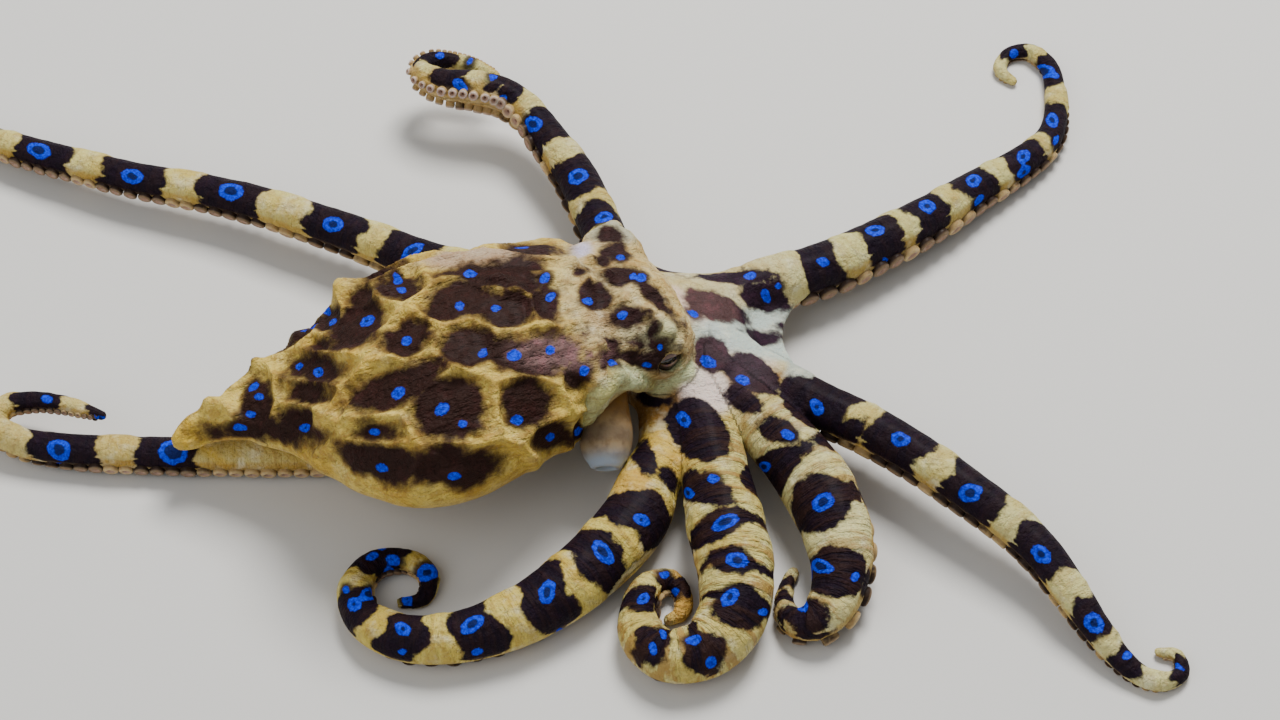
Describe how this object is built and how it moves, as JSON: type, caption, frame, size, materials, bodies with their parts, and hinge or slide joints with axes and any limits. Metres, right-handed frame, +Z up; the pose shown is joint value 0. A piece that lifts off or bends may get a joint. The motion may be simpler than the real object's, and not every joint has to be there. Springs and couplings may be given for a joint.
{
  "type": "blue-ringed octopus",
  "caption": "Life-size still model of a southern blue-ringed octopus resting on a flat floor with its arms spread and their tips curled.",
  "frame": {"origin": "middle of the footprint, on the floor that the arms rest on", "axes": "+X the way the head points and the longest extent, +Y towards the animal's left side, +Z up"},
  "size_m": [0.1515, 0.0902, 0.0216],
  "materials": {
    "mantle_skin": "moist skin",
    "head_skin": "moist skin",
    "funnel_skin": "moist skin",
    "crown_skin": "moist skin",
    "arm_skin": "moist skin",
    "eye": "glossy"
  },
  "bodies": {
    "root": {"mantle": "mantle_skin", "head": "head_skin", "eye_left": "eye", "eye_right": "eye", "funnel": "funnel_skin", "crown": "crown_skin", "arm_left_1_a": "arm_skin", "arm_left_1_b": "arm_skin", "arm_left_1_c": "arm_skin", "arm_left_1_d": "arm_skin", "arm_left_1_e": "arm_skin", "arm_left_2_a": "arm_skin", "arm_left_2_b": "arm_skin", "arm_left_2_c": "arm_skin", "arm_left_2_d": "arm_skin", "arm_left_2_e": "arm_skin", "arm_left_3_a": "arm_skin", "arm_left_3_b": "arm_skin", "arm_left_3_c": "arm_skin", "arm_left_3_d": "arm_skin", "arm_left_3_e": "arm_skin", "arm_left_4_a": "arm_skin", "arm_left_4_b": "arm_skin", "arm_left_4_c": "arm_skin", "arm_left_4_d": "arm_skin", "arm_left_4_e": "arm_skin", "arm_right_4_a": "arm_skin", "arm_right_4_b": "arm_skin", "arm_right_4_c": "arm_skin", "arm_right_4_d": "arm_skin", "arm_right_4_e": "arm_skin", "arm_right_4_f": "arm_skin", "arm_right_3_a": "arm_skin", "arm_right_3_b": "arm_skin", "arm_right_3_c": "arm_skin", "arm_right_3_d": "arm_skin", "arm_right_3_e": "arm_skin", "arm_right_3_f": "arm_skin", "arm_right_2_a": "arm_skin", "arm_right_2_b": "arm_skin", "arm_right_2_c": "arm_skin", "arm_right_2_d": "arm_skin", "arm_right_1_a": "arm_skin", "arm_right_1_b": "arm_skin", "arm_right_1_c": "arm_skin", "arm_right_1_d": "arm_skin", "arm_right_1_e": "arm_skin"}
  },
  "joints": []
}
